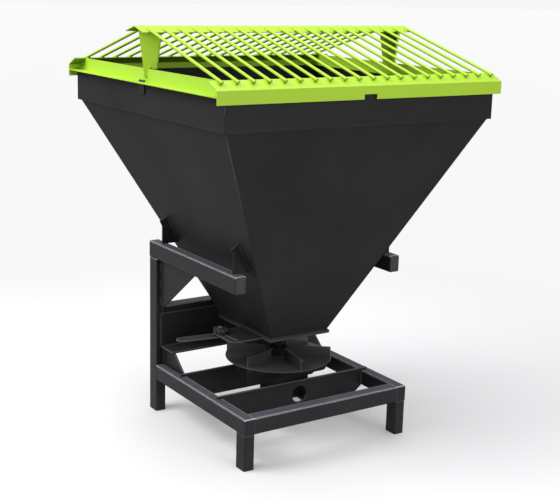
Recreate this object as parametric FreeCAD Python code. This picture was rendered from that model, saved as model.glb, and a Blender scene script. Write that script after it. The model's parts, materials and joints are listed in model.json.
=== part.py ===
import FreeCAD, Part
import math
import os

# Tractor-mounted sand spreader: a square tube stand carries a tapered hopper on two
# arms, a turning disc with vanes hangs under the hopper's outlet, and a roof-shaped
# bar grille lies on the hopper's mouth.
# Frame: origin on the ground under the middle of the hopper's mouth, +Z up,
# +Y towards the tractor, +X across the machine. Millimetres.

# ---- driving dimensions -------------------------------------------------------------
TUBE_WIDTH = 40.0            # rectangular tube, the side that faces along X
TUBE_DEPTH = 60.0            # the arms' height
POST_DEPTH = 54.0            # the legs' and uprights' side along Y
FRONT_RAIL_WIDTH = 46.0
SHEET = 3.0                  # hopper and grille sheet
PLATE = 6.0                  # gussets and cross plates
TUBE_CORNER = 4.0            # rounded long edges of the tubes

STAND_CENTRE_Y = -28.0       # the stand's middle
AXIS_Y = -48.0               # the disc's and the shutter's axis
STAND_HALF_X = 342.0
STAND_HALF_Y = 343.0
RAIL_TOP = 183.0
RAIL_HEIGHT = 58.0
ARM_WALL_GAP = 81.7          # from an arm's outer face in to the hopper's wall, at the arm's top
ARM_FRONT_Y = -297.0

CROSS_PLATE_OFFSET = 131.0   # each cross plate's distance from the stand's middle
CROSS_PLATE_RISE = 10.0      # its top edge over the rails
CROSS_PLATE_HEIGHT = 100.0
CROSS_PLATE_CUT = 40.0       # how far its lower corners are cut back from the rails
CROSS_PLATE_EAR = 22.0       # how far the plate's ears lie over the rails
HOSE_HOLE_RADIUS = 31.0
HOSE_HOLE_X = 20.0
HOSE_HOLE_Z = 141.0

GUSSET_REACH = 262.0         # the upper gusset's length along the arm
LOWER_GUSSET_INSET = 30.0    # from the rail's outer side to the lower gusset
GUSSET_TOE = 14.0            # the upper gusset ends this far above the hitch plate
HOPPER_GUSSET_FRONT_Y = -258.0
HOPPER_GUSSET_REAR_Y = 240.0
HOPPER_GUSSET_INSET = 15.0   # from the arm's outer face
HOPPER_STRIP_WIDTH = 30.0    # the gusset's upper end, a strip up along the wall
HOPPER_STRIP_RISE = 34.0

HITCH_PLATE_TOP = 385.0
HITCH_PLATE_BOTTOM = 249.0
HITCH_FLANGE_DEPTH = 81.0
HITCH_TUBE_TOP = 410.0
HITCH_TUBE_HEIGHT = 40.0
HITCH_TUBE_DEPTH = 50.0
LOWER_LINK_INSET = 92.0      # from the stand's side in to the middle of a pair of lugs
LOWER_LINK_PIN_RADIUS = 11.0
TOP_LINK_PIN_RADIUS = 9.5
LINK_GAP = 48.0              # room between two ears for the tractor's ball end
LUG_HEIGHT = 104.0
MAST_FOOT_DEPTH = 34.0       # the mast ears' depth where they meet the cross tube
MAST_BRACE_HEIGHT = 106.0
MAST_BRACE_NOSE = 26.0
EAR_THICKNESS = 12.0
LOWER_LINK_Y = 349.0
LOWER_LINK_Z = 315.0
TOP_LINK_Y = 382.0
TOP_LINK_Z = 636.0
PIN_HOLE_CLEARANCE = 0.25

RIM_HALF_X = 527.0
RIM_HALF_Y = 522.0
RIM_BOTTOM = 1158.0
RIM_HEIGHT = 105.0
RIM_STEP = 10.0              # the taper starts this far inside the rim
OUTLET_Z = 375.0
OUTLET_HALF_X = 119.0
OUTLET_FRONT_Y = -177.0
OUTLET_REAR_Y = 160.0
OUTLET_RING = 8.0            # how far the outlet flange stands out round the taper

DISC_RADIUS = 194.0
DISC_TOP = 261.0
DISC_THICKNESS = 4.0
VANE_COUNT = 6
VANE_HEIGHT = 38.0
VANE_LIP = 10.0
VANE_INNER_RADIUS = 48.0
VANE_FIRST_ANGLE = 21.0
VANE_EDGE = 3.0              # from the vanes' outer ends to the disc's edge
SHAFT_RADIUS = 12.0
SHAFT_CLEARANCE = 0.05
HUB_RADIUS = 30.0
HUB_HEIGHT = 32.0

METERING_THICKNESS = 5.0
SLIDE_GAP = 0.5              # face gap between the shutter and what guides it
WING_OUT_X = -250.0
WING_FRONT_Y = -134.0
WING_REAR_Y = 14.0
SHUTTER_RADIUS = 112.0
PORT_INNER_RADIUS = 40.0
PORT_OUTER_RADIUS = 104.0
PORT_ANGLE = 22.0
LEVER_ANGLE = 172.4
LEVER_LENGTH = 398.0
LEVER_WIDTH = 44.0
KNOB_ARM = 232.0
SLOT_SWEEP = 23.0
STEM_RADIUS = 5.0
KNOB_RADIUS = 20.0
KNOB_LOBES = 7
KNOB_LOBE_RADIUS = 6.5
KNOB_HEIGHT = 14.0
KNOB_WASHER_RADIUS = 12.0
KNOB_WASHER_HEIGHT = 6.0
WING_OVERLAP = 60.0
WING_CORNER = 25.0
SHUTTER_CHORD = 8.0          # how far the lever's joint is cut into the shutter's round
SLOT_CLEARANCE = 1.5
BUSH_RADIUS = 20.0
BUSH_FLANGE_RADIUS = 30.0

BRIDGE_HALF_X = 80.0
BRIDGE_FRONT_REACH = 65.0    # from the disc's axis to the apron's front
BRIDGE_APRON_HALF_X = 172.0
BRIDGE_CORNER = 14.0
BRIDGE_LEG_HALF_X = 104.0
BRIDGE_LEG_GAP = 2.0         # between the front leg and the motor's flange
BRIDGE_FOOT = 30.0           # how far the rear leg laps down the rear cross plate
BRIDGE_TOP = 245.0
BRIDGE_SHEET = 4.0
BRIDGE_BAR_X = 84.0
BRIDGE_BAR_WIDTH = 40.0

MOTOR_FLANGE = 40.0          # half the square flange's side
MOTOR_FLANGE_THICKNESS = 14.0
MOTOR_FLANGE_CORNER = 10.0
MOTOR_RADIUS = 36.0
MOTOR_LENGTH = 98.0
MOTOR_CAP_RADIUS = 30.0
MOTOR_CAP_THICKNESS = 10.0
MOTOR_BOSS_RADIUS = 22.0
MOTOR_BOSS_HEIGHT = 2.0
PORT_BLOCK_HALF_WIDTH = 24.0
PORT_BLOCK_HEIGHT = 40.0
PORT_BLOCK_REACH = 52.0
SHAFT_SOCKET_DEPTH = 30.0    # how far the shaft reaches below the bridge's top
SHAFT_END_GAP = 0.3
SHAFT_ABOVE_OUTLET = 60.0
AGITATOR_LIFT = 16.0         # the collar's height over the outlet
AGITATOR_HEIGHT = 26.0
AGITATOR_WALL = 9.0
FINGER_RADIUS = 6.0
FINGER_LENGTH = 88.0
FINGER_RISE = 0.18

GRILLE_OVERHANG_X = 30.0     # how far the grille's rails reach past the rim's sides
GRILLE_CLEARANCE_Y = 5.0     # gap between the rim and the grille's rails
GRILLE_RAIL_LAP = 20.0       # how far the rails hang below the rim's top
GRILLE_RAIL_HEIGHT = 42.0
RIDGE_RISE = 182.0           # the ridge's height over the rim
RAIL_FLANGE_RUN = 52.0       # the sloping flange on each grille rail
RAIL_FLANGE_RISE = 25.0
RIDGE_FLANGE = 65.0
GRILLE_NOTCH_WIDTH = 50.0
GRILLE_NOTCH_HEIGHT = 16.0
GRILLE_SEAT_GAP = 0.3        # the resting grille's gap over the hopper's rim
END_PLATE_INSET = 16.0       # from the rim's side in to the grille's end plates
END_PLATE_RISE = 45.0        # the end plates' height over the rim
HOOK_WIDTH = 36.0
HOOK_THICKNESS = 5.0
HOOK_HEIGHT = 45.0
HOOK_REACH = 9.0            # how far the hooks stand above the rim
HOOK_CLEARANCE = 5.0
BAR_RADIUS = 5.0
BAR_COUNT = 20               # in the front row; the rear row has one less, set between them
BAR_CONTACT_GAP = 0.02
BAR_LOWER_INSET = 20.0       # from the rail's face to the bars' lower ends
BAR_UPPER_Y = 36.0           # the bars end this far short of the ridge
POST_TOP_WIDTH = 82.0
POST_TIP_WIDTH = 36.0
POST_TIP_DROP = 29.0         # how far the posts' tips hang below the end plates' tops
POST_TIP_STAND_OFF = 6.0
POST_HEAD_INSET = 12.0
POST_HEAD_RISE = 10.0        # the posts run this far past the ridge before they are cut to the roof

# ---- worked-out dimensions ----------------------------------------------------------
STAND_FRONT_Y = STAND_CENTRE_Y - STAND_HALF_Y
CROSS_PLATE_TOP = RAIL_TOP + CROSS_PLATE_RISE
CROSS_PLATE_BOTTOM = CROSS_PLATE_TOP - CROSS_PLATE_HEIGHT
STAND_REAR_Y = STAND_CENTRE_Y + STAND_HALF_Y
UPRIGHT_FRONT_Y = STAND_REAR_Y - POST_DEPTH
RIM_TOP = RIM_BOTTOM + RIM_HEIGHT
TAPER_SPREAD = RIM_HALF_X - RIM_STEP - OUTLET_HALF_X
ARM_TOP = OUTLET_Z + (RIM_BOTTOM - OUTLET_Z) * (STAND_HALF_X - ARM_WALL_GAP - OUTLET_HALF_X) / TAPER_SPREAD
ARM_BOTTOM = ARM_TOP - TUBE_DEPTH
RAIL_BOTTOM = RAIL_TOP - RAIL_HEIGHT
TUBE_MIDDLE_X = STAND_HALF_X - TUBE_WIDTH / 2
TUBE_INNER_X = STAND_HALF_X - TUBE_WIDTH
LOWER_LINK_HALF_SPAN = STAND_HALF_X - LOWER_LINK_INSET
GRILLE_HALF_X = RIM_HALF_X + GRILLE_OVERHANG_X
GRILLE_HALF_Y = RIM_HALF_Y + GRILLE_CLEARANCE_Y + SHEET
GRILLE_RAIL_BOTTOM = RIM_TOP - GRILLE_RAIL_LAP
GRILLE_RAIL_TOP = GRILLE_RAIL_BOTTOM + GRILLE_RAIL_HEIGHT
RIDGE_TOP = RIM_TOP + RIDGE_RISE
RAIL_FLANGE_INNER_Y = GRILLE_HALF_Y - RAIL_FLANGE_RUN
RAIL_FLANGE_TOP = GRILLE_RAIL_TOP + RAIL_FLANGE_RISE
ROOF_SLOPE = math.atan2(RIDGE_TOP - RAIL_FLANGE_TOP, RAIL_FLANGE_INNER_Y)
END_PLATE_X = RIM_HALF_X - END_PLATE_INSET
END_PLATE_TOP = RIM_TOP + END_PLATE_RISE
BAR_PITCH = 2 * GRILLE_HALF_X / BAR_COUNT
SHUTTER_TOP = OUTLET_Z - PLATE - METERING_THICKNESS - SLIDE_GAP
SHUTTER_BOTTOM = SHUTTER_TOP - METERING_THICKNESS
METERING_TOP = OUTLET_Z - PLATE
METERING_BOTTOM = METERING_TOP - METERING_THICKNESS
DISC_BOTTOM = DISC_TOP - DISC_THICKNESS
BRIDGE_BAR_TOP = CROSS_PLATE_BOTTOM + PLATE
BRIDGE_LEG_Y = AXIS_Y - MOTOR_FLANGE - BRIDGE_LEG_GAP
SIDES = {"left": -1, "right": 1}

V = FreeCAD.Vector


# ---- helpers ------------------------------------------------------------------------
def box(x0, x1, y0, y1, z0, z1):
    return Part.makeBox(abs(x1 - x0), abs(y1 - y0), abs(z1 - z0), V(min(x0, x1), min(y0, y1), min(z0, z1)))


def cylinder(radius, z0, z1, x=0.0, y=AXIS_Y):
    return Part.makeCylinder(radius, z1 - z0, V(x, y, z0))


def rounded(shape, radius, direction):
    """Round the straight edges of a bar or plate that run along one direction."""
    edges = []
    for edge in shape.Edges:
        start, end = edge.Vertexes[0].Point, edge.Vertexes[-1].Point
        run = end.sub(start)
        if run.Length > 0 and abs(run.dot(direction)) > 0.999 * run.Length:
            edges.append(edge)
    return shape.makeFillet(radius, edges)


def prism(points, normal, thickness):
    """A flat plate: an outline of 3-D points pushed along its normal."""
    wire = Part.makePolygon(points + [points[0]])
    return Part.Face(wire).extrude(normal * thickness)


def hexahedron(lower, upper):
    """A solid with six flat faces between two quadrilaterals."""
    faces = [lower, upper]
    for i in range(4):
        j = (i + 1) % 4
        faces.append([lower[i], lower[j], upper[j], upper[i]])
    shell = Part.Shell([Part.Face(Part.makePolygon(f + [f[0]])) for f in faces])
    solid = Part.Solid(shell)
    if solid.Volume < 0:
        solid.reverse()
    return solid


def mirror_x(shape):
    return shape.mirror(V(0, 0, 0), V(1, 0, 0))


def on_side(shape_on_right, sign):
    return shape_on_right if sign > 0 else mirror_x(shape_on_right)


def mirror_y(shape):
    return shape.mirror(V(0, 0, 0), V(0, 1, 0))


def turned(shape, angle):
    """Turn a shape about the disc's vertical axis."""
    copy = shape.copy()
    copy.rotate(V(0, AXIS_Y, 0), V(0, 0, 1), angle)
    return copy


def export(name, shape):
    shape.exportStep("parts/" + name + ".step")


# ---- stand --------------------------------------------------------------------------
def side_rail():
    rail = box(TUBE_INNER_X, STAND_HALF_X, STAND_FRONT_Y, UPRIGHT_FRONT_Y, RAIL_BOTTOM, RAIL_TOP)
    return rounded(rail, TUBE_CORNER, V(0, 1, 0))


def front_rail():
    rail = box(-TUBE_INNER_X, TUBE_INNER_X, STAND_FRONT_Y, STAND_FRONT_Y + FRONT_RAIL_WIDTH,
               RAIL_BOTTOM, RAIL_TOP)
    return rounded(rail, TUBE_CORNER, V(1, 0, 0))


def front_leg():
    leg = box(TUBE_INNER_X, STAND_HALF_X, STAND_FRONT_Y, STAND_FRONT_Y + POST_DEPTH, 0, RAIL_BOTTOM)
    return rounded(leg, TUBE_CORNER, V(0, 0, 1))


def upright():
    post = box(TUBE_INNER_X, STAND_HALF_X, UPRIGHT_FRONT_Y, STAND_REAR_Y, 0, ARM_BOTTOM)
    return rounded(post, TUBE_CORNER, V(0, 0, 1))


def arm():
    bar = box(TUBE_INNER_X, STAND_HALF_X, ARM_FRONT_Y, STAND_REAR_Y, ARM_BOTTOM, ARM_TOP)
    return rounded(bar, TUBE_CORNER, V(0, 1, 0))


def side_plate(outline, x):
    """A plate across a side tube's width, its outline given as (y, z) points."""
    return prism([V(x, y, z) for y, z in outline], V(1, 0, 0), PLATE)


def upper_gusset():
    toe = HITCH_PLATE_TOP + GUSSET_TOE
    return side_plate([(UPRIGHT_FRONT_Y, ARM_BOTTOM), (UPRIGHT_FRONT_Y - GUSSET_REACH, ARM_BOTTOM),
                       (UPRIGHT_FRONT_Y - PLATE, toe), (UPRIGHT_FRONT_Y, toe)], TUBE_MIDDLE_X - PLATE / 2)


def lower_gusset():
    """The plate under the hitch plate's flange, its nose against the rear cross plate's ear."""
    flange_y = UPRIGHT_FRONT_Y - PLATE - HITCH_FLANGE_DEPTH
    nose_y = STAND_CENTRE_Y + CROSS_PLATE_OFFSET + PLATE / 2
    return side_plate([(UPRIGHT_FRONT_Y, HITCH_PLATE_BOTTOM), (flange_y, HITCH_PLATE_BOTTOM),
                       (nose_y, CROSS_PLATE_TOP), (nose_y, RAIL_TOP), (UPRIGHT_FRONT_Y, RAIL_TOP)],
                      STAND_HALF_X - LOWER_GUSSET_INSET - PLATE)


def cross_plate(direction, hose_hole):
    """A plate on edge between the side rails, with an ear over each rail."""
    y = STAND_CENTRE_Y + direction * CROSS_PLATE_OFFSET - PLATE / 2
    ear_x = TUBE_INNER_X + CROSS_PLATE_EAR
    foot_x = TUBE_INNER_X - CROSS_PLATE_CUT
    half = [(foot_x, CROSS_PLATE_BOTTOM), (TUBE_INNER_X, RAIL_BOTTOM), (TUBE_INNER_X, RAIL_TOP),
            (ear_x, RAIL_TOP), (ear_x, CROSS_PLATE_TOP)]
    outline = half + [(-x, z) for x, z in reversed(half)]
    plate = prism([V(x, y, z) for x, z in outline], V(0, 1, 0), PLATE)
    if hose_hole:
        hole = Part.makeCylinder(HOSE_HOLE_RADIUS, 3 * PLATE, V(HOSE_HOLE_X, y - PLATE, HOSE_HOLE_Z),
                                 V(0, 1, 0))
        plate = plate.cut(hole)
    return plate


# ---- hitch --------------------------------------------------------------------------
def hitch_plate():
    """The folded plate across both uprights: a web with a flange along its foot."""
    face_y = UPRIGHT_FRONT_Y - PLATE
    outline = [(UPRIGHT_FRONT_Y, HITCH_PLATE_BOTTOM), (UPRIGHT_FRONT_Y, HITCH_PLATE_TOP),
               (face_y, HITCH_PLATE_TOP), (face_y, HITCH_PLATE_BOTTOM + PLATE),
               (face_y - HITCH_FLANGE_DEPTH, HITCH_PLATE_BOTTOM + PLATE),
               (face_y - HITCH_FLANGE_DEPTH, HITCH_PLATE_BOTTOM)]
    x = -TUBE_MIDDLE_X
    return prism([V(x, y, z) for y, z in outline], V(1, 0, 0), 2 * TUBE_MIDDLE_X)


def hitch_cross_tube():
    z0 = HITCH_TUBE_TOP - HITCH_TUBE_HEIGHT
    tube = box(-TUBE_INNER_X, TUBE_INNER_X, UPRIGHT_FRONT_Y, UPRIGHT_FRONT_Y + HITCH_TUBE_DEPTH,
               z0, HITCH_TUBE_TOP)
    return rounded(tube, TUBE_CORNER, V(1, 0, 0))


def ear(outline, pin_y, pin_z, pin_radius, x):
    """A link ear, its outline given as (y, z) points, with the hole for the link's pin."""
    plate = prism([V(x, y, z) for y, z in outline], V(1, 0, 0), EAR_THICKNESS)
    nose = Part.makeCylinder(3 * pin_radius, EAR_THICKNESS, V(x, pin_y, pin_z), V(1, 0, 0))
    hole = Part.makeCylinder(pin_radius + PIN_HOLE_CLEARANCE, 3 * EAR_THICKNESS,
                             V(x - EAR_THICKNESS, pin_y, pin_z), V(1, 0, 0))
    return plate.fuse(nose).removeSplitter().cut(hole)


def ear_pair(outline, pin_y, pin_z, pin_radius, middle_x):
    inner = middle_x + LINK_GAP / 2
    outer = middle_x - LINK_GAP / 2 - EAR_THICKNESS
    return [ear(outline, pin_y, pin_z, pin_radius, x) for x in (inner, outer)]


def lower_link_lugs():
    reach = 3 * LOWER_LINK_PIN_RADIUS
    half = LUG_HEIGHT / 2
    outline = [(UPRIGHT_FRONT_Y, LOWER_LINK_Z - half), (LOWER_LINK_Y, LOWER_LINK_Z - reach),
               (LOWER_LINK_Y, LOWER_LINK_Z + reach), (UPRIGHT_FRONT_Y, LOWER_LINK_Z + half)]
    ears = []
    for sign in SIDES.values():
        middle_x = sign * LOWER_LINK_HALF_SPAN
        ears += ear_pair(outline, LOWER_LINK_Y, LOWER_LINK_Z, LOWER_LINK_PIN_RADIUS, middle_x)
    return Part.makeCompound(ears)


def top_link_mast():
    """Two tall ears behind the cross tube that lean back to the top link's pin."""
    tube_rear_y = UPRIGHT_FRONT_Y + HITCH_TUBE_DEPTH
    tube_bottom = HITCH_TUBE_TOP - HITCH_TUBE_HEIGHT
    reach = 3 * TOP_LINK_PIN_RADIUS
    outline = [(tube_rear_y, tube_bottom), (tube_rear_y, HITCH_TUBE_TOP),
               (TOP_LINK_Y - reach, TOP_LINK_Z), (TOP_LINK_Y + reach, TOP_LINK_Z),
               (tube_rear_y + MAST_FOOT_DEPTH, tube_bottom)]
    return Part.makeCompound(ear_pair(outline, TOP_LINK_Y, TOP_LINK_Z, TOP_LINK_PIN_RADIUS, 0.0))


def mast_braces():
    """Two plates under the cross tube, in line with the mast's ears."""
    tube_rear_y = UPRIGHT_FRONT_Y + HITCH_TUBE_DEPTH
    tube_bottom = HITCH_TUBE_TOP - HITCH_TUBE_HEIGHT
    outline = [(UPRIGHT_FRONT_Y, tube_bottom), (tube_rear_y, tube_bottom),
               (tube_rear_y, tube_bottom - MAST_BRACE_NOSE),
               (UPRIGHT_FRONT_Y, tube_bottom - MAST_BRACE_HEIGHT)]
    plates = []
    for x in (LINK_GAP / 2, -LINK_GAP / 2 - EAR_THICKNESS):
        plates.append(prism([V(x, y, z) for y, z in outline], V(1, 0, 0), EAR_THICKNESS))
    return Part.makeCompound(plates)


# ---- hopper -------------------------------------------------------------------------
def taper_corners(inset):
    """The taper's four corners at its foot and at its top, moved in by one sheet where asked."""
    top_x = RIM_HALF_X - RIM_STEP - inset
    top_y = RIM_HALF_Y - RIM_STEP - inset
    foot_x = OUTLET_HALF_X - inset
    signs = [(-1, -1), (1, -1), (1, 1), (-1, 1)]
    foot_y = {-1: -OUTLET_FRONT_Y - inset, 1: OUTLET_REAR_Y - inset}
    foot = [V(sx * foot_x, sy * foot_y[sy], OUTLET_Z) for sx, sy in signs]
    top = [V(sx * top_x, sy * top_y, RIM_BOTTOM) for sx, sy in signs]
    return foot, top


def hopper_wall(index):
    """One sloping wall, mitred along the hopper's corner edges."""
    foot_out, top_out = taper_corners(0.0)
    foot_in, top_in = taper_corners(SHEET)
    after = (index + 1) % 4
    return hexahedron([foot_out[index], foot_out[after], foot_in[after], foot_in[index]],
                      [top_out[index], top_out[after], top_in[after], top_in[index]])


def rim_front():
    """The upright band over the front wall, with the small ledge that meets the taper."""
    x = RIM_HALF_X
    y = -RIM_HALF_Y
    ledge = RIM_STEP + SHEET
    band = box(-x, x, y, y + SHEET, RIM_BOTTOM, RIM_TOP)
    foot = box(-x + SHEET, x - SHEET, y + SHEET, y + ledge, RIM_BOTTOM, RIM_BOTTOM + SHEET)
    return band.fuse(foot).removeSplitter()


def rim_side():
    x = RIM_HALF_X
    y = RIM_HALF_Y - SHEET
    ledge = RIM_STEP + SHEET
    band = box(x - SHEET, x, -y, y, RIM_BOTTOM, RIM_TOP)
    foot_y = RIM_HALF_Y - ledge
    foot = box(x - ledge, x - SHEET, -foot_y, foot_y, RIM_BOTTOM, RIM_BOTTOM + SHEET)
    return band.fuse(foot).removeSplitter()


def outlet_flange():
    z0, z1 = METERING_TOP, OUTLET_Z
    ring = box(-OUTLET_HALF_X - OUTLET_RING, OUTLET_HALF_X + OUTLET_RING,
               OUTLET_FRONT_Y - OUTLET_RING, OUTLET_REAR_Y + OUTLET_RING, z0, z1)
    opening = box(-OUTLET_HALF_X + SHEET, OUTLET_HALF_X - SHEET,
                  OUTLET_FRONT_Y + SHEET, OUTLET_REAR_Y - SHEET, z0 - 1, z1 + 1)
    return ring.cut(opening)


def taper_x(z):
    """Half the taper's outer width at a height."""
    rise = (z - OUTLET_Z) / (RIM_BOTTOM - OUTLET_Z)
    return OUTLET_HALF_X + rise * TAPER_SPREAD


def hopper_gusset(y):
    """A plate that stands on an arm, leans on the hopper's side wall and ends in a strip."""
    outer_x = STAND_HALF_X - HOPPER_GUSSET_INSET
    slope = TAPER_SPREAD / (RIM_BOTTOM - OUTLET_Z)
    lean = math.atan(slope)
    knee_z = OUTLET_Z + (outer_x - HOPPER_STRIP_WIDTH / math.cos(lean) - OUTLET_HALF_X) / slope
    tip_z = knee_z + HOPPER_STRIP_RISE
    corner_x = taper_x(tip_z) + HOPPER_STRIP_WIDTH * math.cos(lean)
    corner_z = tip_z - HOPPER_STRIP_WIDTH * math.sin(lean)
    points = [V(outer_x, y, ARM_TOP), V(outer_x, y, knee_z), V(corner_x, y, corner_z),
              V(taper_x(tip_z), y, tip_z), V(taper_x(ARM_TOP), y, ARM_TOP)]
    return prism(points, V(0, 1, 0), PLATE)


def hopper_gussets():
    plates = []
    for sign in SIDES.values():
        for y in (HOPPER_GUSSET_FRONT_Y, HOPPER_GUSSET_REAR_Y):
            plates.append(on_side(hopper_gusset(y), sign))
    return Part.makeCompound(plates)


# ---- metering -----------------------------------------------------------------------
def sector(inner, outer, middle_angle, sweep, z0, z1):
    """A ring sector about the disc's axis."""
    ring = cylinder(outer, z0, z1).cut(cylinder(inner, z0 - 1, z1 + 1))
    reach = 4 * outer
    half = math.radians(sweep / 2)
    wedge = prism([V(0, AXIS_Y, z0 - 1),
                   V(reach * math.cos(half), AXIS_Y - reach * math.sin(half), z0 - 1),
                   V(reach * math.cos(half), AXIS_Y + reach * math.sin(half), z0 - 1)],
                  V(0, 0, 1), z1 - z0 + 2)
    return turned(ring.common(wedge), middle_angle)


def ports(z0, z1):
    angles = (90, 270)
    return [sector(PORT_INNER_RADIUS, PORT_OUTER_RADIUS, a, PORT_ANGLE, z0 - 1, z1 + 1) for a in angles]


def slot():
    """The curved slot for the knob's stem."""
    half = STEM_RADIUS + SLOT_CLEARANCE
    z0, z1 = METERING_BOTTOM - 1, METERING_TOP + 1
    middle = LEVER_ANGLE + SLOT_SWEEP / 2
    arc = sector(KNOB_ARM - half, KNOB_ARM + half, middle, SLOT_SWEEP, z0, z1)
    end = cylinder(half, z0, z1, KNOB_ARM)
    return [arc, turned(end, LEVER_ANGLE), turned(end, LEVER_ANGLE + SLOT_SWEEP)]


def metering_plate():
    """The plate under the outlet flange, with its wing that carries the curved slot."""
    x = OUTLET_HALF_X + OUTLET_RING
    z0, z1 = METERING_BOTTOM, METERING_TOP
    main = box(-x, x, OUTLET_FRONT_Y - OUTLET_RING, OUTLET_REAR_Y + OUTLET_RING, z0, z1)
    wing = box(WING_OUT_X, -x + WING_OVERLAP, WING_FRONT_Y, WING_REAR_Y, z0, z1)
    plate = main.fuse(rounded(wing, WING_CORNER, V(0, 0, 1))).removeSplitter()
    plate = plate.cut(cylinder(BUSH_RADIUS, z0 - 1, z1 + 1))
    for opening in ports(z0, z1) + slot():
        plate = plate.cut(opening)
    return plate


def shutter_bush():
    """The flanged bush that carries the shutter and guides the shaft."""
    flange_top = SHUTTER_BOTTOM - SLIDE_GAP
    bush = cylinder(BUSH_RADIUS, flange_top, METERING_TOP).fuse(
        cylinder(BUSH_FLANGE_RADIUS, flange_top - METERING_THICKNESS, flange_top))
    bore = cylinder(SHAFT_RADIUS + SHAFT_CLEARANCE, flange_top - METERING_THICKNESS - 1, METERING_TOP + 1)
    return bush.removeSplitter().cut(bore)


def shutter_plate():
    z0, z1 = SHUTTER_BOTTOM, SHUTTER_TOP
    plate = cylinder(SHUTTER_RADIUS, z0, z1).cut(cylinder(BUSH_RADIUS + SHAFT_CLEARANCE, z0 - 1, z1 + 1))
    for opening in ports(z0, z1):
        plate = plate.cut(opening)
    chord = box(SHUTTER_RADIUS - SHUTTER_CHORD, 2 * SHUTTER_RADIUS, AXIS_Y - SHUTTER_RADIUS,
                AXIS_Y + SHUTTER_RADIUS, z0 - 1, z1 + 1)
    return plate.cut(turned(chord, LEVER_ANGLE))


def metering_lever():
    half = LEVER_WIDTH / 2
    z0, z1 = SHUTTER_BOTTOM, SHUTTER_TOP
    bar = box(SHUTTER_RADIUS - SHUTTER_CHORD, LEVER_LENGTH - half,
              AXIS_Y - half, AXIS_Y + half, z0, z1)
    end = cylinder(half, z0, z1, LEVER_LENGTH - half)
    return turned(bar.fuse(end).removeSplitter(), LEVER_ANGLE)


def star_knob():
    """A star grip with rounded lobes, on a washer, with its stem through the slot."""
    seat = METERING_TOP + SLIDE_GAP
    z0 = seat + KNOB_WASHER_HEIGHT
    z1 = z0 + KNOB_HEIGHT
    knob = cylinder(KNOB_RADIUS, z0, z1, KNOB_ARM)
    for i in range(KNOB_LOBES):
        angle = 2 * math.pi * i / KNOB_LOBES
        lobe_x = KNOB_ARM + KNOB_RADIUS * math.cos(angle)
        lobe_y = AXIS_Y + KNOB_RADIUS * math.sin(angle)
        knob = knob.fuse(cylinder(KNOB_LOBE_RADIUS, z0, z1, lobe_x, lobe_y))
    knob = knob.fuse(cylinder(KNOB_WASHER_RADIUS, seat, z0, KNOB_ARM))
    knob = knob.fuse(cylinder(STEM_RADIUS, SHUTTER_TOP, seat + 1, KNOB_ARM))
    return turned(knob.removeSplitter(), LEVER_ANGLE)


# ---- spreading disc and drive -------------------------------------------------------
def spreading_disc():
    bore = cylinder(SHAFT_RADIUS, DISC_BOTTOM - 1, DISC_TOP + 1)
    return cylinder(DISC_RADIUS, DISC_BOTTOM, DISC_TOP).cut(bore)


def disc_hub():
    return cylinder(HUB_RADIUS, DISC_TOP, DISC_TOP + HUB_HEIGHT).cut(
        cylinder(SHAFT_RADIUS, DISC_TOP - 1, DISC_TOP + HUB_HEIGHT + 1))


def vanes():
    """Radial angle-section vanes, each with a lip along its top."""
    y = AXIS_Y
    outer = DISC_RADIUS - VANE_EDGE
    vane_top = DISC_TOP + VANE_HEIGHT
    web = box(VANE_INNER_RADIUS, outer, y, y + SHEET, DISC_TOP, vane_top)
    lip = box(VANE_INNER_RADIUS, outer, y, y + VANE_LIP, vane_top - SHEET, vane_top)
    foot = box(VANE_INNER_RADIUS, outer, y, y + VANE_LIP, DISC_TOP, DISC_TOP + SHEET)
    vane = web.fuse([lip, foot]).removeSplitter()
    step = 360.0 / VANE_COUNT
    return Part.makeCompound([turned(vane, VANE_FIRST_ANGLE + i * step) for i in range(VANE_COUNT)])


def drive_shaft():
    return cylinder(SHAFT_RADIUS, BRIDGE_TOP - SHAFT_SOCKET_DEPTH, OUTLET_Z + SHAFT_ABOVE_OUTLET)


def agitator():
    """A collar on the shaft with two stirring fingers."""
    z0 = OUTLET_Z + AGITATOR_LIFT
    body = cylinder(SHAFT_RADIUS + AGITATOR_WALL, z0, z0 + AGITATOR_HEIGHT)
    root = V(0, AXIS_Y, z0 + AGITATOR_HEIGHT / 2)
    for sign in SIDES.values():
        body = body.fuse(Part.makeCylinder(FINGER_RADIUS, FINGER_LENGTH, root, V(sign, 0, FINGER_RISE)))
    return body.cut(cylinder(SHAFT_RADIUS, z0 - AGITATOR_HEIGHT, z0 + 2 * AGITATOR_HEIGHT))


def motor():
    """A closed hydraulic motor that hangs from the bridge, with its port block."""
    y = AXIS_Y
    top = BRIDGE_TOP - BRIDGE_SHEET
    boss_top = BRIDGE_TOP + MOTOR_BOSS_HEIGHT
    flange_bottom = top - MOTOR_FLANGE_THICKNESS
    body_bottom = flange_bottom - MOTOR_LENGTH
    flange = box(-MOTOR_FLANGE, MOTOR_FLANGE, y - MOTOR_FLANGE, y + MOTOR_FLANGE, flange_bottom, top)
    flange = rounded(flange, MOTOR_FLANGE_CORNER, V(0, 0, 1))
    body = cylinder(MOTOR_RADIUS, body_bottom, flange_bottom)
    cap = cylinder(MOTOR_CAP_RADIUS, body_bottom - MOTOR_CAP_THICKNESS, body_bottom)
    block_middle = (flange_bottom + body_bottom) / 2
    block = box(-PORT_BLOCK_HALF_WIDTH, PORT_BLOCK_HALF_WIDTH, y, y + PORT_BLOCK_REACH,
                block_middle - PORT_BLOCK_HEIGHT / 2, block_middle + PORT_BLOCK_HEIGHT / 2)
    boss = cylinder(MOTOR_BOSS_RADIUS, top, boss_top)
    socket_bottom = BRIDGE_TOP - SHAFT_SOCKET_DEPTH - SHAFT_END_GAP
    bore = cylinder(SHAFT_RADIUS + SHAFT_CLEARANCE, socket_bottom, boss_top + 1)
    return flange.fuse([body, cap, block, boss]).removeSplitter().cut(bore)


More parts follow.
